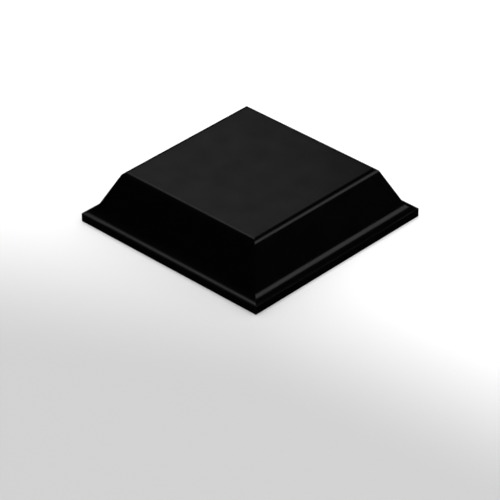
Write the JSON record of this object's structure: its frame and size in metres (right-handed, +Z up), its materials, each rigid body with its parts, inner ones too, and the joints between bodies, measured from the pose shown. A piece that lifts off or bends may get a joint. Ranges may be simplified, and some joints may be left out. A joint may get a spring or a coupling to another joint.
{
  "type": "fence post cap",
  "caption": "Low square fence post cap with sloping sides and a thin rim, a moulded cover snapped over a screwed-down base.",
  "frame": {"origin": "middle of the underside of the rim, in the plane that the cap rests on when it is off its post", "axes": "+Z up, out of the top of the post; +X right and +Y back, square to the sides"},
  "size_m": [0.12, 0.12, 0.0288],
  "materials": {
    "cover_plastic": "smooth black injection moulding, semi-gloss",
    "base_plastic": "dark grey moulding, lightly eroded mould finish",
    "gasket_foam": "closed-cell rubber foam, skinned faces and cut edges",
    "seal_rubber": "moulded black rubber, matt",
    "spring_steel": "cold-rolled stainless spring strip, bright",
    "screw_steel": "plain stainless, rolled and headed"
  },
  "bodies": {
    "base": {"mounting_base": "base_plastic", "post_gasket": "gasket_foam", "seal_ring": "seal_rubber", "spring_clip_right": "spring_steel", "spring_clip_back": "spring_steel", "spring_clip_left": "spring_steel", "spring_clip_front": "spring_steel", "clip_screw_right": "screw_steel", "clip_screw_back": "screw_steel", "clip_screw_left": "screw_steel", "clip_screw_front": "screw_steel"},
    "cover": {"cap_cover": "cover_plastic"}
  },
  "joints": [
    {"name": "cover_lift", "type": "slide", "parent": "base", "child": "cover", "axis": [0, 0, 1], "range_m": [0, 0.06], "deforming": ["spring_clip_right", "spring_clip_back", "spring_clip_left", "spring_clip_front"]}
  ]
}
